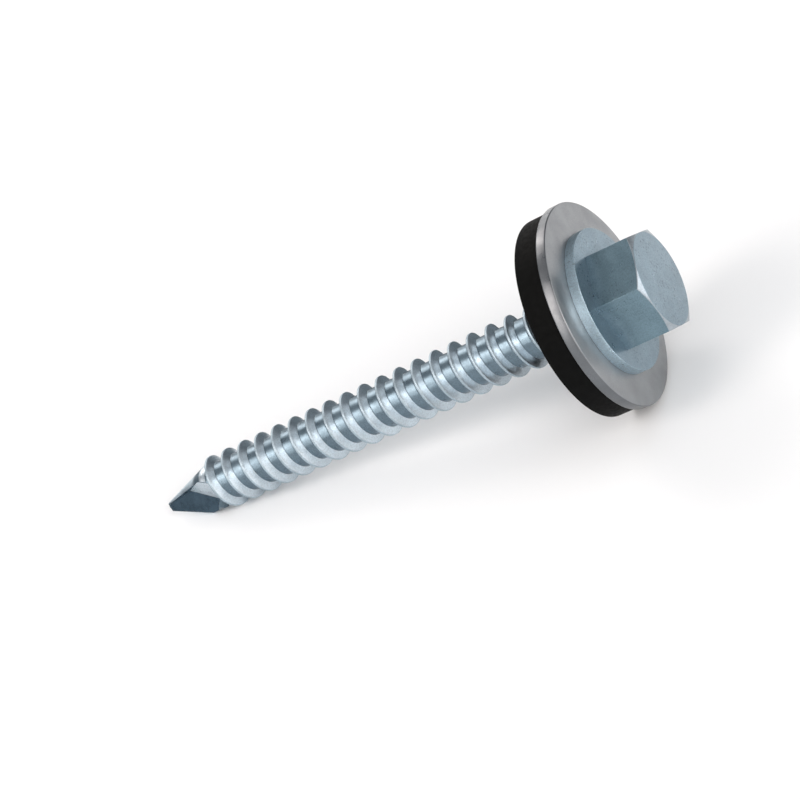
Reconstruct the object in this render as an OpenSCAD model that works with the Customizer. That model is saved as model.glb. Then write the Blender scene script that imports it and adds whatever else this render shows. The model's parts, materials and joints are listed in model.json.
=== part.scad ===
// Self drilling screw with a flanged hexagon head and a bonded sealing washer.
// Each piece is drawn along the screw's own axis: the underside of the rubber seal is at z = 0,
// the head is above it and the drill point is below it. The whole screw is then laid down the
// way it comes to rest, on the rim of the seal and the first full turn of its thread.

/* [Thread] */
// Diameter over the thread
thread_d = 6.3; // [6:0.05:6.6]
// Diameter at the root of the thread
root_d = 4.7; // [4.5:0.05:5]
// Distance from one turn to the next
thread_pitch = 2.36; // [2.2:0.02:2.5]
// Width of the flat on the crest
crest_w = 0.25; // [0.2:0.05:0.4]
// Slope of each flank, measured from square to the axis
flank_deg = 30; // [25:1:32]
// Columns of facets in one turn
turn_facets = 40; // [24:4:44]

/* [Shank] */
// Length from the underside of the seal to the tip
shank_l = 54.6; // [50:0.1:60]
// Diameter of the plain neck that the washer turns on
neck_d = 5.4; // [5.2:0.1:5.6]
// Length of plain neck that shows below the seal
neck_show = 0.35; // [0.3:0.05:0.6]

/* [Head] */
// Size across the flats of the hexagon
across_flats = 10; // [9.8:0.05:10.2]
// Height of the hexagon above the flange
hex_h = 5.15; // [4.5:0.05:6]
// Diameter of the flat on top of the head
head_flat_d = 9.85; // [9.4:0.05:9.95]
// Slope of the chamfer round the top of the head
head_chamfer_deg = 23; // [15:1:30]

/* [Flange] */
// Diameter of the flange
flange_d = 15.3; // [14:0.1:16]
// Thickness of the flange
flange_t = 1.05; // [0.9:0.05:1.4]
// Size of the small chamfers on the flange's rim
flange_edge = 0.12; // [0.05:0.01:0.2]

/* [Sealing washer] */
// Diameter of the steel washer
washer_d = 22; // [20:0.5:25]
// Thickness of the steel washer
washer_t = 1.1; // [0.9:0.1:1.3]
// Size of the small chamfers on the steel washer's rim
washer_edge = 0.12; // [0.05:0.01:0.2]
// Step from the steel washer's rim in to the rubber seal's rim
seal_inset = 0.3; // [0.1:0.05:1]
// Thickness of the rubber seal
seal_t = 2.75; // [2:0.05:3.2]
// Size of the chamfer on the seal's lower edge
seal_edge = 0.15; // [0.1:0.05:0.4]
// Depth of the countersink where the thread enters the seal
seal_leadin = 0.6; // [0.5:0.05:0.8]
// Radial clearance between the neck and the washer
neck_clearance = 0.08; // [0.05:0.01:0.1]
// Play between the flange and the steel washer
seat_gap = 0.07; // [0.05:0.01:0.1]

/* [Drill point] */
// Diameter across the cutting lip
drill_d = 5.5; // [5.4:0.05:5.6]
// Length from the tip to the lip's widest place
lip_l = 5.3; // [5:0.1:5.4]
// Length from the tip to the first trace of thread
thread_from_tip = 6.25; // [6.1:0.01:6.4]
// Diameter of the blunt nose
nose_d = 0.8; // [0.7:0.1:1]
// Diameter of the cone just before the thread
drill_cone_d = 4.95; // [4.9:0.05:5.1]
// Half the thickness of the web at the tip
web_half = 0.15; // [0.1:0.05:0.2]
// Growth of the half web for each millimetre from the tip
web_taper = 0.07; // [0.05:0.01:0.09]

/* [Hidden] */

$fn = 96;

// How far pieces of one solid run into each other, and how far a cut runs past a surface
overlap = 0.2;
past = 1;

// Thread profile
thread_r = thread_d / 2;
root_r = root_d / 2;
thread_depth = thread_r - root_r;
flank_w = thread_depth * tan(flank_deg);

// Heights along the screw's own axis
tip_z = -shank_l;
washer_z = seal_t;
washer_top_z = washer_z + washer_t;
flange_z = washer_top_z + seat_gap;
hex_z = flange_z + flange_t;
head_top_z = hex_z + hex_h;
neck_z = -neck_show;
hex_r = across_flats / 2 / cos(30);
head_flat_r = head_flat_d / 2;
seal_r = washer_d / 2 - seal_inset;
bore_r = neck_d / 2 + neck_clearance;

// Drill point
nose_r = nose_d / 2;
nose_z = tip_z + 0.15;
cone_r = drill_cone_d / 2;
cone_z = tip_z + 6.7;
cone_slope = (cone_r - nose_r) / (cone_z - nose_z);
lip_r = drill_d / 2;
lip_z = tip_z + lip_l;
lip_nose_r = 0.66;
lip_nose_z = tip_z + 0.2;
lip_end_z = tip_z + 7;
point_end_z = tip_z + 7.5;
lip_back = 0.25;

// Faces of one flute in the screw's own axes: a point on each face and a direction out of the steel
rake_dir = [1, 0, -web_taper];
rake_at = [web_half, 0, tip_z];
wall_dir = [0.17, 0.98, 0.11];
wall_at = [0.41, -0.58, tip_z + 3.62];
ramp_dir = [0.77, 0.51, -0.38];
end_dir = [0.41, -0.54, -0.74];
end_at = [1.19, 2.47, tip_z + 6.67];
stop_dir = [0, 0.14, -1];
stop_at = [0, 0, tip_z + 7.58];

// The thread is one grid of points. Each turn has four rows: a foot, the two edges of the crest
// and the other foot. Each row climbs one pitch in a turn and runs on into the row four above it,
// so the surface is continuous from the drill point to the neck.
thread_start_z = tip_z + thread_from_tip;
grid_z = thread_start_z - thread_pitch;
grid_turns = ceil((neck_z + 1.2 - grid_z) / thread_pitch) + 1;
grid_rows = 4 * grid_turns;
// Turn of the thread's start about the axis
start_deg = 50;
// The crest rises within half a turn at the point and falls away over most of a turn below the seal
rise_from = 1;
rise_over = 0.39;
fall_to = (neck_z - 0.6 - grid_z) / thread_pitch;
fall_over = 0.7;

function clamp01(v) = max(0, min(1, v));
function crest_share(t) = clamp01(min((t - rise_from) / rise_over, (fall_to - t) / fall_over));
function core_r(z) = min(root_r, nose_r + cone_slope * (z - nose_z) - 0.15);
function is_crest(row) = row % 4 == 1 || row % 4 == 2;
function side(row) = row % 4 < 2 ? -1 : 1;
function half_w(row, t) = crest_w / 2 + (is_crest(row) ? 0 : flank_w * (0.3 + 0.7 * crest_share(t)));
function thread_z(row, t) = grid_z + thread_pitch * t + side(row) * half_w(row, t);
function thread_rad(row, t) = core_r(thread_z(row, t))
    + (is_crest(row) ? thread_depth * crest_share(t) : 0);
function thread_point(row, col) =
    let (t = floor(row / 4) + col / turn_facets,
         a = start_deg + 360 * col / turn_facets,
         r = thread_rad(row, t))
    [r * cos(a), r * sin(a), thread_z(row, t)];
function grid_index(row, col) =
    col < turn_facets ? row * turn_facets + col : (row + 4) * turn_facets;

// How the screw lies: the seal's rim and the first full crest on the underside carry it
turn_deg = 240;
under_deg = 360 - turn_deg;
first_crest_z = thread_start_z + thread_pitch * (1 + (under_deg - start_deg) / 360) - crest_w / 2;
rest_tilt = atan((seal_r - thread_r) / (seal_edge - first_crest_z));
rest_h = seal_r * cos(rest_tilt) - seal_edge * sin(rest_tilt);
tip_x = tip_z * cos(rest_tilt);
head_x = head_top_z * cos(rest_tilt) + head_flat_r * sin(rest_tilt);

// Lays a piece drawn along the screw's axis down on the ground, with the head raised
module laid_down() {
    translate([-(tip_x + head_x) / 2, 0, rest_h])
        rotate([0, 90 - rest_tilt, 0])
            rotate([0, 0, turn_deg])
                children();
}

// Half of space: everything on the side of a plane that its direction points to
module half_space(at, dir, reach = 12) {
    translate(at)
        rotate([0, acos(dir[2] / norm(dir)), atan2(dir[1], dir[0])])
            translate([-reach, -reach, 0])
                cube([2 * reach, 2 * reach, reach]);
}

// Disc with a small chamfer on both edges of its rim
module chamfered_disc(d, h, edge) {
    rotate_extrude()
        polygon([
            [0, 0],
            [d / 2 - edge, 0],
            [d / 2, edge],
            [d / 2, h - edge],
            [d / 2 - edge, h],
            [0, h]
        ]);
}

// Hexagon of the head, with the chamfer that rounds off its upper corners
module hexagon() {
    outside_r = hex_r + past;
    intersection() {
        translate([0, 0, hex_z - overlap])
            cylinder(r = hex_r, h = hex_h + overlap, $fn = 6);
        rotate_extrude()
            polygon([
                [0, hex_z - past],
                [outside_r, hex_z - past],
                [outside_r, head_top_z - (outside_r - head_flat_r) * tan(head_chamfer_deg)],
                [head_flat_r, head_top_z],
                [0, head_top_z]
            ]);
    }
}

// Core and ridge of the thread
module thread() {
    polyhedron(
        points = [
            for (row = [0 : grid_rows - 1], col = [0 : turn_facets - 1]) thread_point(row, col),
            [0, 0, thread_z(0, 0.5)],
            [0, 0, thread_z(grid_rows - 1, grid_turns - 0.5)]
        ],
        faces = let (
            low = grid_rows * turn_facets,
            high = low + 1,
            last = turn_facets - 1,
            top = grid_rows - 1
        ) [
            for (row = [0 : top - 1], col = [0 : last])
                if (col < last || row <= top - 5)
                    for (f = [
                        [grid_index(row, col), grid_index(row + 1, col), grid_index(row + 1, col + 1)],
                        [grid_index(row, col), grid_index(row + 1, col + 1), grid_index(row, col + 1)]
                    ]) f,
            for (col = [0 : last]) [low, grid_index(0, col), grid_index(0, col + 1)],
            for (row = [0 : 3]) [low, grid_index(row + 1, 0), grid_index(row, 0)],
            for (col = [0 : last - 1]) [high, grid_index(top, col + 1), grid_index(top, col)],
            for (row = [top - 4 : top - 1]) [high, grid_index(row, last), grid_index(row + 1, last)],
            [high, grid_index(top, 0), grid_index(top - 4, last)]
        ]
    );
}

// Cone of the drill point, with the cutting lip that stands wider than it on one side
module point_blank() {
    rotate_extrude()
        polygon([
            [0, tip_z],
            [nose_r, nose_z],
            [cone_r, cone_z],
            [cone_r, lip_end_z],
            [root_r - 0.1, point_end_z],
            [0, point_end_z]
        ]);
    intersection() {
        rotate_extrude()
            polygon([
                [0, tip_z],
                [lip_nose_r, lip_nose_z],
                [lip_r, lip_z],
                [lip_r, lip_end_z],
                [root_r - 0.1, point_end_z],
                [0, point_end_z]
            ]);
        half_space([-lip_back, 0, lip_z], [1, 0, 0]);
        half_space([0, 0, lip_z], [0, 1, 0]);
    }
}

// Space of one flute: in front of the rake face, and above the wall, the ramp and the end
module flute() {
    intersection() {
        half_space(rake_at, rake_dir);
        half_space(wall_at, wall_dir);
        half_space(wall_at, ramp_dir);
        half_space(end_at, end_dir);
        half_space(stop_at, stop_dir);
    }
}

module screw() {
    color([0.60, 0.66, 0.69])
        laid_down() {
            difference() {
                union() {
                    thread();
                    point_blank();
                }
                flute();
                rotate([0, 0, 180])
                    flute();
            }
            translate([0, 0, neck_z])
                cylinder(d = neck_d, h = flange_z + overlap - neck_z);
            translate([0, 0, flange_z])
                chamfered_disc(flange_d, flange_t, flange_edge);
            hexagon();
        }
}

module steel_washer() {
    color([0.60, 0.60, 0.60])
        laid_down()
            difference() {
                translate([0, 0, washer_z])
                    chamfered_disc(washer_d, washer_t, washer_edge);
                translate([0, 0, washer_z - past])
                    cylinder(r = bore_r, h = washer_t + 2 * past);
            }
}

module rubber_seal() {
    color([0.09, 0.10, 0.10])
        laid_down()
            difference() {
                rotate_extrude()
                    polygon([
                        [0, 0],
                        [seal_r - seal_edge, 0],
                        [seal_r, seal_edge],
                        [seal_r, seal_t],
                        [0, seal_t]
                    ]);
                translate([0, 0, -past])
                    cylinder(r = bore_r, h = seal_t + 2 * past);
                translate([0, 0, -past])
                    cylinder(r1 = bore_r + seal_leadin + past, r2 = bore_r, h = seal_leadin + past);
            }
}

screw();
steel_washer();
rubber_seal();
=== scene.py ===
# Self drilling screw with a sealing washer, lying on a pale studio floor.
import json
import math

import bmesh
import bpy
from mathutils import Matrix, Vector


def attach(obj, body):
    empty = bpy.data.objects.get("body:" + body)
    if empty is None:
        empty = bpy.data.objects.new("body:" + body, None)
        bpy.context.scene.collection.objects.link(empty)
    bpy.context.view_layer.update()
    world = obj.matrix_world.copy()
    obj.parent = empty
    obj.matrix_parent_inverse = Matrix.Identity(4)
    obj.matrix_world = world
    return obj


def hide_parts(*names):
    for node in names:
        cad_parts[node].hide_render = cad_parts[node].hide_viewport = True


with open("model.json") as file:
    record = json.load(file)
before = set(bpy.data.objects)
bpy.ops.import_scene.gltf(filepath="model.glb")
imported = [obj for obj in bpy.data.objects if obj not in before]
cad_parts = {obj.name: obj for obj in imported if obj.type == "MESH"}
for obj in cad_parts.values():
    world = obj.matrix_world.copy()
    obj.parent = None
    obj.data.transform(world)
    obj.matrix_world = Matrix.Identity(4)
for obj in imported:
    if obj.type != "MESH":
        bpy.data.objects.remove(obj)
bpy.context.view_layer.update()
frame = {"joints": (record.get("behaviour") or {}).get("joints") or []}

MM = 0.001

# Sizes in millimetres. Heights run along the screw's own axis, from the underside of the seal.
# Crests, seal and washer are 0.005 mm smaller in radius than in the CAD, to stay inside its box.
THREAD_R = 3.145
ROOT_R = 2.35
PITCH = 2.36
CREST_W = 0.25
FLANK_DEG = 30
START_DEG = 50
SHANK_L = 54.6

NECK_R = 2.7
NECK_SHOW = 0.35
NECK_EDGE = 0.1

SEAL_R = 10.695
SEAL_T = 2.75
SEAL_ROUND = 0.15
SEAL_LEADIN = 0.6
WASHER_R = 10.995
WASHER_T = 1.1
WASHER_ROUND = 0.13
BORE_R = 2.78
# The CAD leaves SEAT_GAP over the washer for the joint. The flange's underside is drawn at SEAT_SHOW
SEAT_GAP = 0.07
SEAT_SHOW = 0.008

FLANGE_R = 7.65
FLANGE_T = 1.05
FLANGE_ROUND = 0.02
FLANGE_FOOT = 0.03
FLATS = 10.0
CORNER_ROUND = 0.05
HEX_H = 5.15
HEAD_FLAT_R = 4.925
CHAMFER_DEG = 23
EDGE_ROUND = 0.05

DRILL_R = 2.75
LIP_L = 5.3
THREAD_FROM_TIP = 6.25
NOSE_R = 0.4
CONE_R = 2.475
WEB_HALF = 0.15
WEB_TAPER = 0.07

# How far the screw is turned round its own axis as it lies
TURN_DEG = 240

# Heights worked out from the sizes
TIP_Z = -SHANK_L
WASHER_Z = SEAL_T
WASHER_TOP_Z = WASHER_Z + WASHER_T
FLANGE_Z = WASHER_TOP_Z + SEAT_SHOW
HEX_Z = WASHER_TOP_Z + SEAT_GAP + FLANGE_T
HEAD_TOP_Z = HEX_Z + HEX_H
NECK_Z = -NECK_SHOW
DEPTH = THREAD_R - ROOT_R
FLANK_W = DEPTH * math.tan(math.radians(FLANK_DEG))
NOSE_Z = TIP_Z + 0.15
CONE_Z = TIP_Z + 6.7
CONE_SLOPE = (CONE_R - NOSE_R) / (CONE_Z - NOSE_Z)
LIP_Z = TIP_Z + LIP_L
LIP_END_Z = TIP_Z + 7
POINT_END_Z = TIP_Z + 7.5

# The joint turns about the screw's own axis, and lies there at half the height of the steel washer
JOINT = frame["joints"][0]
JOINT_Z = 3.3 * MM
AXIS = Vector(JOINT["axis"]).normalized()
ORIGIN = Vector(JOINT["pos_m"]) - JOINT_Z * AXIS


def screw_frame():
    """From the screw's own frame, with its axis up, to the frame in which it lies on the floor."""
    down = Vector((AXIS.z, 0, -AXIS.x))
    side = Vector((0, 1, 0))
    turn = math.radians(TURN_DEG)
    x_axis = math.cos(turn) * down + math.sin(turn) * side
    y_axis = -math.sin(turn) * down + math.cos(turn) * side
    columns = Matrix((x_axis, y_axis, AXIS)).transposed()
    return Matrix.Translation(ORIGIN) @ columns.to_4x4()


# Mesh building, in millimetres in the screw's own frame

# Mesh attribute that keeps each point's place in that frame, for the materials
PLACE = "place"


def add_object(name, data):
    obj = bpy.data.objects.new(name, data)
    bpy.context.scene.collection.objects.link(obj)
    return obj


def mesh_object(name, points, faces):
    mesh = bpy.data.meshes.new(name)
    mesh.from_pydata(points, [], faces)
    mesh.update()
    return add_object(name, mesh)


def even_angles(columns):
    return [2 * math.pi * i / columns for i in range(columns)]


def band(low, high, columns):
    """Faces between two rings of points, whose first points are low and high."""
    pairs = [(i, (i + 1) % columns) for i in range(columns)]
    return [(low + i, low + j, high + j, high + i) for i, j in pairs]


def polar_solid(name, rows, angles):
    """A closed solid of rings. A row is a height and a radius, and each may depend on the angle."""
    columns = len(angles)
    points = []
    for height, radius in rows:
        for a in angles:
            r = radius(a) if callable(radius) else radius
            z = height(a) if callable(height) else height
            points.append((r * math.cos(a), r * math.sin(a), z))
    last = (len(rows) - 1) * columns
    faces = []
    for low in range(0, last, columns):
        faces += band(low, low + columns, columns)
    faces.append(tuple(reversed(range(columns))))
    faces.append(tuple(range(last, last + columns)))
    return mesh_object(name, points, faces)


def ring_solid(name, outline, columns):
    """A closed ring: its outline of radius and height, turned round the axis."""
    angles = even_angles(columns)
    points = [(r * math.cos(a), r * math.sin(a), z) for r, z in outline for a in angles]
    faces = []
    for low in range(0, len(points), columns):
        faces += band(low, (low + columns) % len(points), columns)
    return mesh_object(name, points, faces)


def arc(center_r, center_z, radius, from_deg, to_deg, steps):
    """Points of an arc in the plane of radius and height."""
    angles = [math.radians(from_deg + (to_deg - from_deg) * k / steps) for k in range(steps + 1)]
    return [(center_r + radius * math.cos(a), center_z + radius * math.sin(a)) for a in angles]


def combine(target, other, operation):
    """Joins, cuts or intersects target with other, which is used up."""
    modifier = target.modifiers.new("combine", "BOOLEAN")
    modifier.operation = operation
    modifier.solver = "MANIFOLD"
    modifier.object = other
    result = target.evaluated_get(bpy.context.evaluated_depsgraph_get())
    mesh = bpy.data.meshes.new_from_object(result)
    target.modifiers.clear()
    old = target.data
    target.data = mesh
    bpy.data.meshes.remove(old)
    bpy.data.objects.remove(other)


# Edges that bend by more than this are drawn sharp
SCREW_SHARP_DEG = 30
RING_SHARP_DEG = 40


def finish_piece(obj, body, node, material, sharp_deg):
    """Lays the piece down with the screw, smooths it between its edges and ties it to its body."""
    mesh = obj.data
    place = mesh.attributes.new(PLACE, "FLOAT_VECTOR", "POINT")
    place.data.foreach_set("vector", [c for v in mesh.vertices for c in v.co])
    mesh.transform(screw_frame() @ Matrix.Scale(MM, 4))
    mesh.materials.clear()
    mesh.materials.append(material)
    mesh.shade_smooth()
    mesh.set_sharp_from_angle(angle=math.radians(sharp_deg))
    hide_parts(node)
    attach(obj, body)


def clamp01(value):
    return max(0.0, min(1.0, value))


def smooth_min(a, b, blend):
    share = clamp01(0.5 + 0.5 * (b - a) / blend)
    return b * (1 - share) + a * share - blend * share * (1 - share)


def smooth_max(a, b, blend):
    return -smooth_min(-a, -b, blend)


# Thread

THREAD_COLUMNS = 120
THREAD_START_Z = TIP_Z + THREAD_FROM_TIP
GRID_Z = THREAD_START_Z - PITCH
GRID_PAST_NECK = 1.2
GRID_TURNS = math.ceil((NECK_Z + GRID_PAST_NECK - GRID_Z) / PITCH) + 1
# Turns over which the thread rises from the cone, and those over which it runs out under the neck
RISE_FROM = 1
RISE_OVER = 0.39
RUNOUT_Z = NECK_Z - 0.6
FALL_TO = (RUNOUT_Z - GRID_Z) / PITCH
FALL_OVER = 0.7
CREST_BLEND = 0.06
ROOT_BLEND = 0.06
CORE_INSET = 0.15
# Places across one turn, as shares of half the pitch from the middle of the crest
ACROSS = (0, 0.075, 0.106, 0.14, 0.22, 0.32, 0.42, 0.465, 0.495, 0.53, 0.62, 0.8)


def crest_share(t):
    """Share of its full height that the thread has after t turns of the grid."""
    return clamp01(min((t - RISE_FROM) / RISE_OVER, (FALL_TO - t) / FALL_OVER))


def core_radius(z):
    """Root of the thread, which in the drill point stays inside the cone."""
    return min(ROOT_R, NOSE_R + CONE_SLOPE * (z - NOSE_Z) - CORE_INSET)


def ridge_height(offset, t):
    """Height of the thread over its core, at an offset from the middle of the crest."""
    straight = (CREST_W / 2 + FLANK_W - abs(offset)) / math.tan(math.radians(FLANK_DEG))
    full = smooth_max(0, smooth_min(DEPTH, straight, CREST_BLEND), ROOT_BLEND)
    return full * crest_share(t)


def thread_points(offsets):
    points = []
    for turn in range(GRID_TURNS):
        for offset in offsets:
            for column in range(THREAD_COLUMNS):
                t = turn + column / THREAD_COLUMNS
                z = GRID_Z + PITCH * t + offset
                a = math.radians(START_DEG) + 2 * math.pi * column / THREAD_COLUMNS
                r = core_radius(z) + ridge_height(offset, t)
                points.append((r * math.cos(a), r * math.sin(a), z))
    return points


def make_thread():
    """One helical grid. Each row climbs one pitch in a turn and runs on into the row a turn above."""
    half = PITCH / 2
    offsets = [-s * half for s in reversed(ACROSS[1:])] + [s * half for s in ACROSS] + [half]
    per_turn = len(offsets)
    top = per_turn * GRID_TURNS - 1
    last = THREAD_COLUMNS - 1
    points = thread_points(offsets)
    low = len(points)
    high = low + 1
    points.append((0, 0, GRID_Z))
    points.append((0, 0, GRID_Z + PITCH * (GRID_TURNS - 0.5)))

    def at(row, column):
        if column < THREAD_COLUMNS:
            return row * THREAD_COLUMNS + column
        return (row + per_turn) * THREAD_COLUMNS

    faces = []
    for row in range(top):
        for c in range(THREAD_COLUMNS):
            if c < last or row + 1 + per_turn <= top:
                faces.append((at(row, c), at(row, c + 1), at(row + 1, c + 1), at(row + 1, c)))
    # The two ends are closed with fans of triangles from a point on the axis
    faces += [(low, at(0, c + 1), at(0, c)) for c in range(THREAD_COLUMNS)]
    faces += [(low, at(row, 0), at(row + 1, 0)) for row in range(per_turn)]
    faces += [(high, at(top, c), at(top, c + 1)) for c in range(last)]
    faces += [(high, at(row + 1, last), at(row, last)) for row in range(top - per_turn, top)]
    faces.append((high, at(top - per_turn, last), at(top, 0)))
    return mesh_object("thread", points, faces)


# Drill point

POINT_COLUMNS = 120
LIP_NOSE_R = 0.66
LIP_NOSE_Z = TIP_Z + 0.2
LIP_BACK = 0.25
# The tip ends in a very small flat, and the point's upper end lies inside the thread's core
TIP_ROW = (TIP_Z + 0.01, 0.02)
END_ROW = (POINT_END_Z, ROOT_R - 0.1)
BLOCK_HALF = 12


def half_space(at, direction):
    """Everything on the side of a plane that its direction points to, as a large block."""
    mesh = bpy.data.meshes.new("half_space")
    bm = bmesh.new()
    bmesh.ops.create_cube(bm, size=2 * BLOCK_HALF)
    bmesh.ops.translate(bm, verts=bm.verts, vec=(0, 0, BLOCK_HALF))
    turn = Vector(direction).to_track_quat("Z", "Y").to_matrix()
    bmesh.ops.rotate(bm, verts=bm.verts, matrix=turn)
    bmesh.ops.translate(bm, verts=bm.verts, vec=at)
    bm.to_mesh(mesh)
    bm.free()
    return add_object("half_space", mesh)


def make_point_blank():
    """The cone, with the cutting lip that stands wider than it on one side."""
    cone_rows = [TIP_ROW, (NOSE_Z, NOSE_R), (CONE_Z, CONE_R), (LIP_END_Z, CONE_R), END_ROW]
    lip_rows = [TIP_ROW, (LIP_NOSE_Z, LIP_NOSE_R), (LIP_Z, DRILL_R), (LIP_END_Z, DRILL_R), END_ROW]
    angles = even_angles(POINT_COLUMNS)
    blank = polar_solid("cone", cone_rows, angles)
    lip = polar_solid("lip", lip_rows, angles)
    combine(lip, half_space((-LIP_BACK, 0, LIP_Z), (1, 0, 0)), "INTERSECT")
    combine(lip, half_space((0, 0, LIP_Z), (0, 1, 0)), "INTERSECT")
    combine(blank, lip, "UNION")
    return blank


# Faces of one flute, each a point on it and a direction out of the steel: rake, wall, ramp and the two
# at its end
WALL_POINT = (0.41, -0.58, TIP_Z + 3.62)
FLUTE_FACES = (
    ((WEB_HALF, 0, TIP_Z), (1, 0, -WEB_TAPER)),
    (WALL_POINT, (0.17, 0.98, 0.11)),
    (WALL_POINT, (0.77, 0.51, -0.38)),
    ((1.19, 2.47, TIP_Z + 6.67), (0.41, -0.54, -0.74)),
    ((0, 0, TIP_Z + 7.58), (0, 0.14, -1)),
)


def make_flute(turned):
    """Space of one flute: in front of the rake face, and above the wall, the ramp and the end."""
    flute = half_space(*FLUTE_FACES[0])
    for at, direction in FLUTE_FACES[1:]:
        combine(flute, half_space(at, direction), "INTERSECT")
    if turned:
        flute.data.transform(Matrix.Rotation(math.pi, 4, "Z"))
    return flute


# Head

SIDE_STEPS = 20
CORNER_STEPS = (0.35, 0.7)
FOOT_STEPS = 3
ROUND_STEPS = 5
EDGE_STEPS = 3
# Share of the chamfer's width that the rounding of each of its edges may take
EDGE_SHARE = 0.45


def corner_span():
    """Angle from a corner's middle to the end of its rounding."""
    flat = FLATS / 2
    return math.radians(30) - math.atan((flat - CORNER_ROUND) * math.tan(math.radians(30)) / flat)


def head_angles():
    """Angles round the head, close together at the rounded corners of the hexagon."""
    corner = math.degrees(corner_span())
    near = [0] + [s * corner for s in CORNER_STEPS]
    along = [corner + (60 - 2 * corner) * k / SIDE_STEPS for k in range(SIDE_STEPS + 1)]
    after = [60 - s * corner for s in reversed(CORNER_STEPS)]
    return [math.radians(60 * side + a) for side in range(6) for a in near + along + after]


def hexagon_radius(a):
    """Outline of the hexagon, with a corner at angle 0."""
    flat = FLATS / 2
    sixth = math.radians(60)
    from_corner = abs((a + sixth / 2) % sixth - sixth / 2)
    if from_corner > corner_span():
        return flat / math.cos(math.radians(30) - from_corner)
    center = (flat - CORNER_ROUND) / math.cos(math.radians(30))
    across = center * math.sin(from_corner)
    return center * math.cos(from_corner) + math.sqrt(CORNER_ROUND**2 - across**2)


def curve_rows(start, corner, end):
    """Rows of a small rounding from start to end, pulled towards corner: each a function of the angle."""

    def row(u):
        def part(a, which):
            p, q, s = start(a)[which], corner(a)[which], end(a)[which]
            return (1 - u) ** 2 * p + 2 * u * (1 - u) * q + u * u * s

        return lambda a: part(a, 1), lambda a: part(a, 0)

    return [row(k / EDGE_STEPS) for k in range(EDGE_STEPS + 1)]


def hexagon_rows():
    """Rows up the hexagon, round the chamfer's two edges and on to the flat top."""
    slope = math.radians(CHAMFER_DEG)

    def edge(a):
        return min(EDGE_ROUND, EDGE_SHARE * (hexagon_radius(a) - HEAD_FLAT_R))

    def on_chamfer(r):
        return r, HEAD_TOP_Z - (r - HEAD_FLAT_R) * math.tan(slope)

    def side_end(a):
        r, z = side_corner(a)
        return r, z - edge(a)

    def side_corner(a):
        return on_chamfer(hexagon_radius(a))

    def chamfer_start(a):
        return on_chamfer(hexagon_radius(a) - edge(a) * math.cos(slope))

    def chamfer_end(a):
        return on_chamfer(HEAD_FLAT_R + edge(a) * math.cos(slope))

    def top_corner(a):
        return HEAD_FLAT_R, HEAD_TOP_Z

    def top_start(a):
        return HEAD_FLAT_R - edge(a), HEAD_TOP_Z

    rows = [(HEX_Z, hexagon_radius)]
    rows += curve_rows(side_end, side_corner, chamfer_start)
    return rows + curve_rows(chamfer_end, top_corner, top_start)


def make_head():
    """Neck, flange and hexagon in one."""
    rows = [(NECK_Z, NECK_R - NECK_EDGE), (NECK_Z + NECK_EDGE, NECK_R), (FLANGE_Z, NECK_R)]
    rim = arc(FLANGE_R - FLANGE_FOOT, FLANGE_Z + FLANGE_FOOT, FLANGE_FOOT, -90, 0, FOOT_STEPS)
    rim += arc(FLANGE_R - FLANGE_ROUND, HEX_Z - FLANGE_ROUND, FLANGE_ROUND, 0, 90, ROUND_STEPS)
    rows += [(z, r) for r, z in rim]
    return polar_solid("head", rows + hexagon_rows(), head_angles())


def make_screw(material):
    screw = make_thread()
    combine(screw, make_point_blank(), "UNION")
    combine(screw, make_head(), "UNION")
    combine(screw, make_flute(False), "DIFFERENCE")
    combine(screw, make_flute(True), "DIFFERENCE")
    screw.name = "zinc_screw"
    finish_piece(screw, "screw", "screw", material, SCREW_SHARP_DEG)


# Sealing washer

RING_COLUMNS = 240


def make_steel_washer(material):
    rim_r = WASHER_R - WASHER_ROUND
    outline = [(BORE_R, WASHER_Z)]
    outline += arc(rim_r, WASHER_Z + WASHER_ROUND, WASHER_ROUND, -90, 0, ROUND_STEPS)
    outline += arc(rim_r, WASHER_TOP_Z - WASHER_ROUND, WASHER_ROUND, 0, 90, ROUND_STEPS)
    outline += [(BORE_R, WASHER_TOP_Z)]
    washer = ring_solid("washer_plate", outline, RING_COLUMNS)
    finish_piece(washer, "sealing_washer", "steel_washer", material, RING_SHARP_DEG)


def make_rubber_seal(material):
    outline = [(BORE_R, SEAL_LEADIN), (BORE_R + SEAL_LEADIN, 0)]
    outline += arc(SEAL_R - SEAL_ROUND, SEAL_ROUND, SEAL_ROUND, -90, 0, ROUND_STEPS)
    outline += [(SEAL_R, SEAL_T), (BORE_R, SEAL_T)]
    seal = ring_solid("seal_ring", outline, RING_COLUMNS)
    finish_piece(seal, "sealing_washer", "rubber_seal", material, RING_SHARP_DEG)


# Nodes for the materials and the studio's light

# Most of a noise's values lie between these two
NOISE_SPREAD = (0.3, 0.7)


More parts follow.
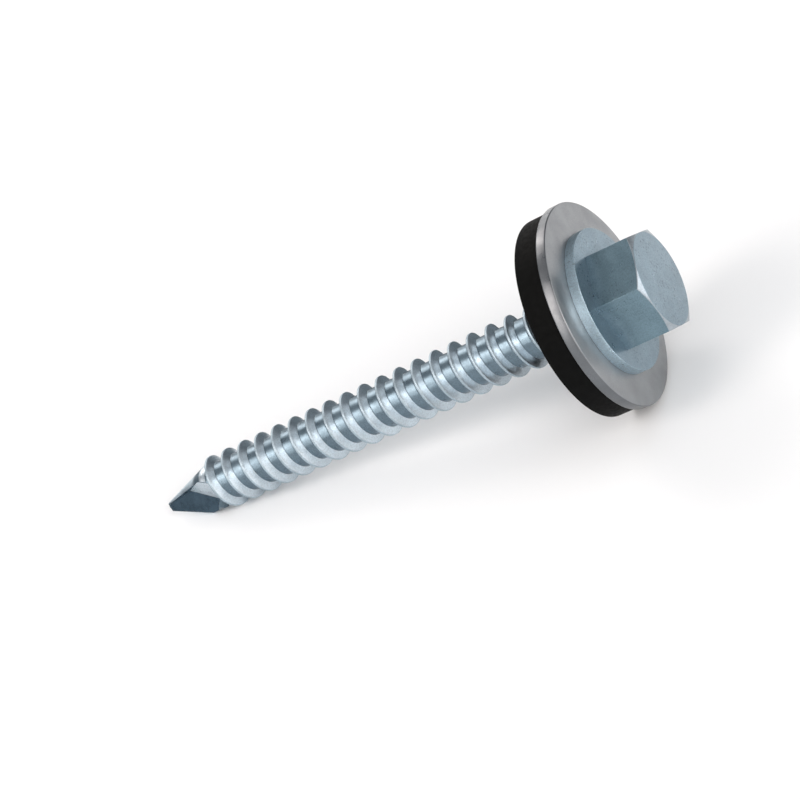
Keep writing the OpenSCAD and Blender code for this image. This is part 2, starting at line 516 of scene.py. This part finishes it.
class Nodes:
    """Short calls that add one node each to a node tree and give back its result."""

    def __init__(self, tree):
        self.tree = tree

    def put(self, socket, value):
        """Gives a socket another node's result, or else a number, a vector or a colour."""
        if isinstance(value, bpy.types.NodeSocket):
            self.tree.links.new(value, socket)
        elif socket.type == "RGBA":
            socket.default_value = (*value, 1)
        else:
            socket.default_value = value

    def math(self, operation, first, second=0.0):
        node = self.tree.nodes.new("ShaderNodeMath")
        node.operation = operation
        self.put(node.inputs[0], first)
        self.put(node.inputs[1], second)
        return node.outputs[0]

    def dot(self, first, second):
        node = self.tree.nodes.new("ShaderNodeVectorMath")
        node.operation = "DOT_PRODUCT"
        self.put(node.inputs[0], first)
        self.put(node.inputs[1], second)
        return node.outputs["Value"]

    def parts(self, vector):
        node = self.tree.nodes.new("ShaderNodeSeparateXYZ")
        self.put(node.inputs[0], vector)
        return node.outputs["X"], node.outputs["Y"], node.outputs["Z"]

    def step(self, value, start, end, low=0.0, high=1.0):
        """Low up to start, high from end, and smooth between them."""
        node = self.tree.nodes.new("ShaderNodeMapRange")
        node.interpolation_type = "SMOOTHSTEP"
        self.put(node.inputs["Value"], value)
        self.put(node.inputs["From Min"], start)
        self.put(node.inputs["From Max"], end)
        self.put(node.inputs["To Min"], low)
        self.put(node.inputs["To Max"], high)
        return node.outputs["Result"]

    def fade(self, value, start, end):
        """1 up to start, 0 from end."""
        return self.step(value, start, end, 1.0, 0.0)


class SurfaceNodes(Nodes):
    """Nodes of a new material, which read the place of each point in the screw's own frame."""

    def __init__(self, name):
        self.material = bpy.data.materials.new(name)
        self.material.use_nodes = True
        super().__init__(self.material.node_tree)
        place = self.tree.nodes.new("ShaderNodeAttribute")
        place.attribute_name = PLACE
        self.place = place.outputs["Vector"]

    def measures(self):
        """Both ways across the screw, height along it and distance from its axis, in millimetres."""
        x, y, height = self.parts(self.place)
        squares = self.math("ADD", self.math("MULTIPLY", x, x), self.math("MULTIPLY", y, y))
        return x, y, height, self.math("SQRT", squares)

    def noise(self, per_mm, detail, rough=0.5):
        node = self.tree.nodes.new("ShaderNodeTexNoise")
        self.put(node.inputs["Vector"], self.place)
        self.put(node.inputs["Scale"], per_mm)
        self.put(node.inputs["Detail"], detail)
        self.put(node.inputs["Roughness"], rough)
        return node.outputs["Fac"]

    def vary(self, per_mm, detail, low, high):
        """A value that wanders between low and high."""
        return self.step(self.noise(per_mm, detail), *NOISE_SPREAD, low, high)

    def blend(self, share, first, second):
        """First colour where share is 0, second where it is 1."""
        node = self.tree.nodes.new("ShaderNodeMix")
        node.data_type = "RGBA"
        self.put(node.inputs["Factor"], share)
        self.put(node.inputs["A"], first)
        self.put(node.inputs["B"], second)
        return node.outputs["Result"]

    def scale_color(self, color, amount):
        node = self.tree.nodes.new("ShaderNodeVectorMath")
        node.operation = "SCALE"
        self.put(node.inputs[0], color)
        self.put(node.inputs["Scale"], amount)
        return node.outputs[0]

    def bump(self, height, distance_mm, under=None):
        node = self.tree.nodes.new("ShaderNodeBump")
        self.put(node.inputs["Strength"], 1)
        self.put(node.inputs["Distance"], distance_mm * MM)
        self.put(node.inputs["Height"], height)
        if under:
            self.put(node.inputs["Normal"], under)
        return node.outputs["Normal"]

    def surface(self, color, roughness, metallic, normal, specular=0.5):
        shader = self.tree.nodes["Principled BSDF"]
        self.put(shader.inputs["Base Color"], color)
        self.put(shader.inputs["Roughness"], roughness)
        self.put(shader.inputs["Metallic"], metallic)
        self.put(shader.inputs["Normal"], normal)
        self.put(shader.inputs["Specular IOR Level"], specular)
        return self.material


# Materials. A name that ends in _AT gives the two values between which one look turns into the
# next: heights, distances and depths in millimetres, or values of a noise

# Thread colours: painted shade in the roots, painted light on the flanks, and crests and crest edges
# painted darker against their highlights
ZINC_ROOT = (0.15, 0.207, 0.25)
ZINC_FLANK = (0.62, 0.705, 0.765)
ZINC_EDGE = (0.55, 0.64, 0.705)
ZINC_CREST = (0.40, 0.49, 0.55)
# Drill point colours: painted light outside and on the ramp, painted shade on the rake face
ZINC_POINT = (0.60, 0.71, 0.78)
ZINC_RAMP = (0.44, 0.54, 0.60)
ZINC_RAMP_END = (0.56, 0.64, 0.70)
ZINC_RAKE = (0.041, 0.067, 0.092)
# Head colours: painted shade on the six sides, painted light on their foot, the chamfer and the flange's
# rim
ZINC_TOP = (0.24, 0.322, 0.38)
ZINC_SIDE = (0.16, 0.242, 0.291)
ZINC_FOOT = (0.25, 0.345, 0.405)
ZINC_CHAMFER = (0.37, 0.42, 0.46)
ZINC_RIM = (0.54, 0.70, 0.80)

# Painted light on the flanks, growing towards the head, where the washer shades them
PAINTED_FLANK_LIGHT_AT = (TIP_Z + 8, -4)
PAINTED_FLANK_LIGHT = (0.97, 1.12)
FLANK_AT = (ROOT_R + 0.004, ROOT_R + 0.04)
EDGE_AT = (THREAD_R - 0.12, THREAD_R - 0.07)
CREST_AT = (THREAD_R - 0.03, THREAD_R - 0.01)


def thread_color(n, height, radius):
    """Painted shade in the dull blue roots and painted light on the flanks, stronger towards the head
    where the washer shades them; crests and their edges are painted darker than the flanks to damp their
    highlights.
    """
    flank = n.scale_color(ZINC_FLANK, n.step(height, *PAINTED_FLANK_LIGHT_AT, *PAINTED_FLANK_LIGHT))
    color = n.blend(n.step(radius, *FLANK_AT), ZINC_ROOT, flank)
    color = n.blend(n.step(radius, *EDGE_AT), color, ZINC_EDGE)
    return n.blend(n.step(radius, *CREST_AT), color, ZINC_CREST)


LIP_X_AT = (-0.35, -0.3)
LIP_Y_AT = (-0.05, 0)
LIP_END_AT = (POINT_END_Z - 0.1, POINT_END_Z + 0.1)
CONE_END_AT = (TIP_Z + 4.8, TIP_Z + 5.6)
POINT_END_AT = (TIP_Z + 7.8, TIP_Z + 8)
RAMP_END_AT = (TIP_Z + 4.4, TIP_Z + 5.8)
# How far a point in the flute lies inside the cone, and how far one on the rake face lies off the web
FLUTE_AT = (0.06, 0.16)
RAKE_AT = (0.01, 0.04)
# A flute lies on one side of its wall, which stands a little past the axis
WALL_SIDE_AT = (WALL_POINT[1] - 0.12, WALL_POINT[1] - 0.06)


def on_lip(n, x, y, height):
    """1 on the cutting lip's side, which gets the roots' painted shade instead of the thread's colours.
    """
    beside = n.math("MULTIPLY", n.step(x, *LIP_X_AT), n.step(y, *LIP_Y_AT))
    return n.math("MULTIPLY", beside, n.fade(height, *LIP_END_AT))


def in_flute(n, above_tip, radius):
    """1 inside the outline that the point had before its flutes."""
    cone = n.math("ADD", n.math("MULTIPLY", above_tip, CONE_SLOPE), NOSE_R)
    cone = n.math("MINIMUM", cone, ROOT_R)
    return n.step(n.math("SUBTRACT", cone, radius), *FLUTE_AT)


def on_rake(n, x, y, above_tip):
    """1 on the flat rake face of either flute."""
    web = n.math("ADD", n.math("MULTIPLY", above_tip, WEB_TAPER), WEB_HALF)
    off_web = n.math("ABSOLUTE", n.math("SUBTRACT", n.math("ABSOLUTE", x), web))
    own_side = n.step(n.math("MULTIPLY", n.math("SIGN", x), y), *WALL_SIDE_AT)
    return n.math("MULTIPLY", n.fade(off_web, *RAKE_AT), own_side)


def point_color(n, x, y, height, radius, thread):
    """Drill point: painted light outside and on the flute's ramp, growing towards the ramp's end, and
    painted shade on the flat rake face and beside the cutting lip.
    """
    above_tip = n.math("SUBTRACT", height, TIP_Z)
    on_point = n.fade(height, *POINT_END_AT)
    behind = n.blend(on_lip(n, x, y, height), thread, ZINC_ROOT)
    outside = n.blend(n.step(height, *CONE_END_AT), ZINC_POINT, behind)
    ramp = n.blend(n.step(height, *RAMP_END_AT), ZINC_RAMP, ZINC_RAMP_END)
    color = n.blend(n.math("MULTIPLY", in_flute(n, above_tip, radius), on_point), outside, ramp)
    return n.blend(n.math("MULTIPLY", on_rake(n, x, y, above_tip), on_point), color, ZINC_RAKE)


# Depth under the top and the chamfer, and distance out from the flat top
SIDE_AT = (0.02, 0.1)
CHAMFER_AT = (0.03, 0.08)
CHAMFER_LOW_AT = (HEX_Z + 1, HEX_Z + 1.1)
HEX_AT = (HEX_Z + 0.01, HEX_Z + 0.05)
# Painted light on the sides where they rise from the flange, against their dark reflection of it, higher
# up at the middle of each side
FOOT_AT = (-0.3, 0.8)
FOOT_RISE = 0.5
RIM_AT = (FLANGE_R - 0.02, FLANGE_R - 0.005)


def head_color(n, height, radius):
    """Grey-blue flats, painted shade on the six sides with painted light where they rise from the flange,
    and painted highlights on the chamfer and on the flange's rim.
    """
    past_flat = n.math("MAXIMUM", n.math("SUBTRACT", radius, HEAD_FLAT_R), 0.0)
    chamfer_fall = n.math("MULTIPLY", past_flat, math.tan(math.radians(CHAMFER_DEG)))
    depth = n.math("SUBTRACT", n.math("SUBTRACT", HEAD_TOP_Z, height), chamfer_fall)
    foot_h = n.math("MULTIPLY", n.math("SUBTRACT", FLANGE_R, radius), FOOT_RISE)
    foot = n.step(n.math("SUBTRACT", n.math("ADD", foot_h, HEX_Z), height), *FOOT_AT)
    on_side = n.math("MULTIPLY", n.step(depth, *SIDE_AT), n.step(height, *HEX_AT))
    color = n.blend(on_side, ZINC_TOP, n.blend(foot, ZINC_SIDE, ZINC_FOOT))
    on_chamfer = n.math("MULTIPLY", n.fade(depth, *SIDE_AT), n.step(past_flat, *CHAMFER_AT))
    on_chamfer = n.math("MULTIPLY", n.step(height, *CHAMFER_LOW_AT), on_chamfer)
    color = n.blend(on_chamfer, color, ZINC_CHAMFER)
    return n.blend(n.step(radius, *RIM_AT), color, ZINC_RIM)


# Noise values between which each kind of mark comes on, and the tones at the two ends
SPECKLE = (0.36, 0.6, 0.8, 1.06)
DOTS = (0.3, 0.4, 0.36, 0.0)
PATCHES = (0.45, 0.6)
CLOUDS = (0.94, 1.06)
# Shank and head change into each other inside the seal, where neither shows
HEAD_AT = (0.5, 1.0)
# The flanks are rougher than the roots, and the crests more so
ROUGH_FLANK_AT = (ROOT_R + 0.02, ROOT_R + 0.1)
ROUGH_CREST_AT = (THREAD_R - 0.1, THREAD_R - 0.03)
ROUGHER = (0.04, 0.2)
THREAD_ROUGH = (0.26, 0.36)
HEAD_ROUGH = (0.27, 0.36)
WAVES_MM = 0.01
PITS_MM = 0.0012
# The head's plating is a little chalky
HEAD_METAL = 0.88


def zinc_tone(n, in_head):
    """Fine speckle and soft clouds all over, and small dark dots in patches on the head."""
    speckle = n.step(n.noise(6, detail=5, rough=0.85), *SPECKLE)
    dots = n.step(n.noise(4.5, detail=1), *DOTS)
    patch = n.math("MULTIPLY", in_head, n.step(n.noise(0.35, detail=1), *PATCHES))
    speckle = n.math("SUBTRACT", speckle, n.math("MULTIPLY", dots, patch))
    return n.math("MULTIPLY", speckle, n.vary(0.55, 2, *CLOUDS))


def zinc_roughness(n, in_head, radius):
    crest = n.step(radius, *ROUGH_CREST_AT, *ROUGHER)
    extra = n.math("MULTIPLY", n.step(radius, *ROUGH_FLANK_AT), crest)
    thread = n.math("ADD", extra, n.vary(1.1, 3, *THREAD_ROUGH))
    head = n.vary(0.9, 3, *HEAD_ROUGH)
    thread_part = n.math("MULTIPLY", n.math("SUBTRACT", 1.0, in_head), thread)
    return n.math("ADD", thread_part, n.math("MULTIPLY", in_head, head))


def zinc_material():
    """Bright zinc plating, with fine dark speckle."""
    n = SurfaceNodes("bright_zinc")
    x, y, height, radius = n.measures()
    in_head = n.step(height, *HEAD_AT)
    shank = point_color(n, x, y, height, radius, thread_color(n, height, radius))
    color = n.blend(in_head, shank, head_color(n, height, radius))
    color = n.scale_color(color, zinc_tone(n, in_head))
    normal = n.bump(n.noise(1.6, detail=1), WAVES_MM)
    normal = n.bump(n.noise(9, detail=2, rough=0.6), PITS_MM, normal)
    metallic = n.step(height, *HEAD_AT, 1.0, HEAD_METAL)
    return n.surface(color, zinc_roughness(n, in_head, radius), metallic, normal)


STEEL_TOP = (0.316, 0.326, 0.337)
# Painted shade: the rim is painted darker than the top
STEEL_RIM = (0.16, 0.171, 0.183)
STEEL_RIM_AT = (WASHER_R - 0.08, WASHER_R - 0.02)
STEEL_CLOUDS = (0.93, 1.07)
STEEL_GRAIN = (0.96, 1.04)
STEEL_ROUGH = (0.36, 0.48)
RIM_SMOOTHER = 0.1
STEEL_WAVES_MM = 0.003


def steel_material():
    """Satin galvanised plate: cloudy on top, smoother on its rim, which is painted darker: painted shade.
    """
    n = SurfaceNodes("satin_steel")
    radius = n.measures()[-1]
    rim = n.step(radius, *STEEL_RIM_AT)
    color = n.blend(rim, STEEL_TOP, STEEL_RIM)
    clouds = n.vary(0.35, 2, *STEEL_CLOUDS)
    grain = n.vary(6, 2, *STEEL_GRAIN)
    color = n.scale_color(color, n.math("MULTIPLY", clouds, grain))
    smoother = n.math("MULTIPLY", rim, RIM_SMOOTHER)
    rough = n.math("SUBTRACT", n.vary(0.6, 2, *STEEL_ROUGH), smoother)
    normal = n.bump(n.noise(0.5, detail=0), STEEL_WAVES_MM)
    return n.surface(color, rough, 1.0, normal)


RUBBER = (0.0028, 0.003, 0.003)
RUBBER_PALE = tuple(1.4 * c for c in RUBBER)
RUBBER_PALE_AT = (0.35, 0.65)
RUBBER_ROUGH = (0.55, 0.7)
RUBBER_SPECULAR = 0.04
RUBBER_GRAIN_MM = 0.003


def rubber_material():
    """Matte black moulded rubber with a fine grain."""
    n = SurfaceNodes("black_rubber")
    color = n.blend(n.step(n.noise(1.5, detail=3), *RUBBER_PALE_AT), RUBBER, RUBBER_PALE)
    rough = n.vary(3, 2, *RUBBER_ROUGH)
    normal = n.bump(n.noise(11, detail=2, rough=0.6), RUBBER_GRAIN_MM)
    return n.surface(color, rough, 0.0, normal, RUBBER_SPECULAR)


def matte_material(name, color):
    """Plain matte paper or card, for what stands round the screw."""
    material = bpy.data.materials.new(name)
    material.use_nodes = True
    shader = material.node_tree.nodes["Principled BSDF"]
    shader.inputs["Base Color"].default_value = (*color, 1)
    shader.inputs["Roughness"].default_value = 1.0
    shader.inputs["Specular IOR Level"].default_value = 0.0
    return material


# Camera

SENSOR_MM = 36
LENS_MM = 104.71
CLIP_START = 0.01
# The screw's frame as the camera sees it: x to the right, y up and z towards the camera
SEEN_AXIS = Vector((0.79211566, 0.36712119, 0.48762159))
SEEN_X = Vector((-0.44241503, -0.20504573, 0.87305509))
SEEN_ORIGIN = Vector((17.597464, 8.219557, -232.888744)) * MM


def add_camera():
    """The camera as it stood to the screw in the photograph, worked out from the outline there."""
    data = bpy.data.cameras.new("camera")
    data.sensor_width = SENSOR_MM
    data.lens = LENS_MM
    data.clip_start = CLIP_START
    camera = add_object("camera", data)
    seen = Matrix((SEEN_X, SEEN_AXIS.cross(SEEN_X), SEEN_AXIS)).transposed()
    turn = screw_frame().to_3x3() @ seen.transposed()
    camera.matrix_world = Matrix.Translation(ORIGIN - turn @ SEEN_ORIGIN) @ turn.to_4x4()
    bpy.context.scene.camera = camera


# Studio light

# The studio's own glow: degrees above level between which it falls, and its strength under and over them
GLOW_DEG = (2, 10)
GLOW = (1.0, 0.45)
# Soft round lights. Name: azimuth, elevation, radius of full strength and radius where it ends, all in
# degrees, and strength
LOBES = {
    "front_left": (-141, 40, 7, 18, 7.0),
    "front_left_low": (-124, 20, 5, 16, 3.7),
    "back_left": (134, 36, 5, 18, 5.5),
    "back_low": (113, 15, 4, 13, 2.2),
    "right": (3, -2, 14, 31, 0.7),
    "key": (-58, 32, 14, 28, 1.2),
    "key_right": (-36, 27, 14, 30, 4.25),
    "front": (-80, 44, 10, 26, 1.0),
    "top": (30, 66, 18, 38, 0.35),
    "overhead": (178, 56, 10, 24, 0.22),
}
# The studio's dark end, in the same way, with the share of the light that it takes
DARK = (64, 7, 10, 28, 0.75)
# Tint of the light against its strength: bluish where it is dim, a little warm where it is strong
FULL_STRENGTH = 8
TINTS = (
    (0.0, (0.66, 0.8, 0.96)),
    (0.45, (0.78, 0.8, 0.83)),
    (1.0, (0.8, 0.8, 0.8)),
    (2.2, (0.815, 0.8, 0.783)),
    (5.0, (0.88, 0.792, 0.742)),
)


def studio_tint(n, strength):
    scale = n.tree.nodes.new("ShaderNodeValToRGB")
    stops = scale.color_ramp.elements
    while len(stops) < len(TINTS):
        stops.new(1.0)
    for stop, (at, color) in zip(stops, TINTS):
        stop.position = at / FULL_STRENGTH
        stop.color = (*color, 1)
    n.put(scale.inputs[0], n.math("DIVIDE", strength, FULL_STRENGTH))
    return scale.outputs["Color"]


def lobe(n, ray, azimuth, elevation, full, end, outside, inside):
    """A soft round patch of the studio: one value inside it, and another outside it."""
    a, e = math.radians(azimuth), math.radians(elevation)
    middle = (math.cos(a) * math.cos(e), math.sin(a) * math.cos(e), math.sin(e))
    edge = (math.cos(math.radians(end)), math.cos(math.radians(full)))
    return n.step(n.dot(ray, middle), *edge, outside, inside)


def make_world():
    world = bpy.data.worlds.new("studio")
    bpy.context.scene.world = world
    world.use_nodes = True
    n = Nodes(world.node_tree)
    n.tree.nodes.clear()
    out = n.tree.nodes.new("ShaderNodeOutputWorld")
    background = n.tree.nodes.new("ShaderNodeBackground")
    n.put(out.inputs["Surface"], background.outputs["Background"])
    ray = n.tree.nodes.new("ShaderNodeTexCoord").outputs["Generated"]
    glow_at = [math.sin(math.radians(d)) for d in GLOW_DEG]
    total = n.step(n.parts(ray)[2], *glow_at, *GLOW)
    for *patch, strength in LOBES.values():
        total = n.math("ADD", total, lobe(n, ray, *patch, 0, strength))
    *patch, share = DARK
    total = n.math("MULTIPLY", total, lobe(n, ray, *patch, 1, 1 - share))
    n.put(background.inputs["Strength"], total)
    n.put(background.inputs["Color"], studio_tint(n, total))


# Floor, panel and card

FLOOR_HALF = 4.0
# A hair under the screw, so that the two don't lie in one plane
FLOOR_DROP = 0.01 * MM
FLOOR_PAPER = (0.851, 0.885, 0.91)


def add_floor():
    s = FLOOR_HALF
    floor = mesh_object("floor", [(-s, -s, 0), (s, -s, 0), (s, s, 0), (-s, s, 0)], [(0, 1, 2, 3)])
    floor.data.materials.append(matte_material("pale_paper", FLOOR_PAPER))
    floor.location.z = -FLOOR_DROP


PANEL_W = 50 * MM
PANEL_H = 40 * MM
PANEL_WATTS = 0.013
PANEL_POINT = Vector((146, 32, 22)) * MM
HEAD_POINT = Vector((32, -5, 14)) * MM


def add_panel():
    """Small light panel on the right, which the chamfer mirrors."""
    lamp = bpy.data.lights.new("right_panel", "AREA")
    lamp.shape = "RECTANGLE"
    lamp.size = PANEL_W
    lamp.size_y = PANEL_H
    lamp.energy = PANEL_WATTS
    panel = add_object("right_panel", lamp)
    panel.location = PANEL_POINT
    panel.rotation_euler = (HEAD_POINT - PANEL_POINT).to_track_quat("-Z", "Z").to_euler()
    panel.visible_camera = False


FLAG_LEFT = -26 * MM
FLAG_RIGHT = 29 * MM
FLAG_BACK = 18 * MM
FLAG_LOW = 6 * MM
FLAG_HIGH = 15.5 * MM
# Its right end slopes back to here, out of the way of what the washer's top mirrors
FLAG_SLOPE_TO = 21 * MM
FLAG_CARD = (0.135, 0.165, 0.185)


def add_flag():
    """Low dark card behind the screw, seen only as a reflection in the metal."""
    corners = ((FLAG_LEFT, 0), (FLAG_RIGHT, 0), (FLAG_SLOPE_TO, FLAG_HIGH), (FLAG_LEFT, FLAG_LOW))
    flag = mesh_object("flag", [(x, FLAG_BACK, z) for x, z in corners], [(0, 1, 2, 3)])
    flag.data.materials.append(matte_material("grey_card", FLAG_CARD))
    flag.visible_camera = False
    flag.visible_diffuse = False
    flag.visible_shadow = False


add_camera()
make_world()
add_floor()
add_panel()
add_flag()
make_screw(zinc_material())
make_steel_washer(steel_material())
make_rubber_seal(rubber_material())

bpy.context.scene.view_settings.view_transform = "Standard"
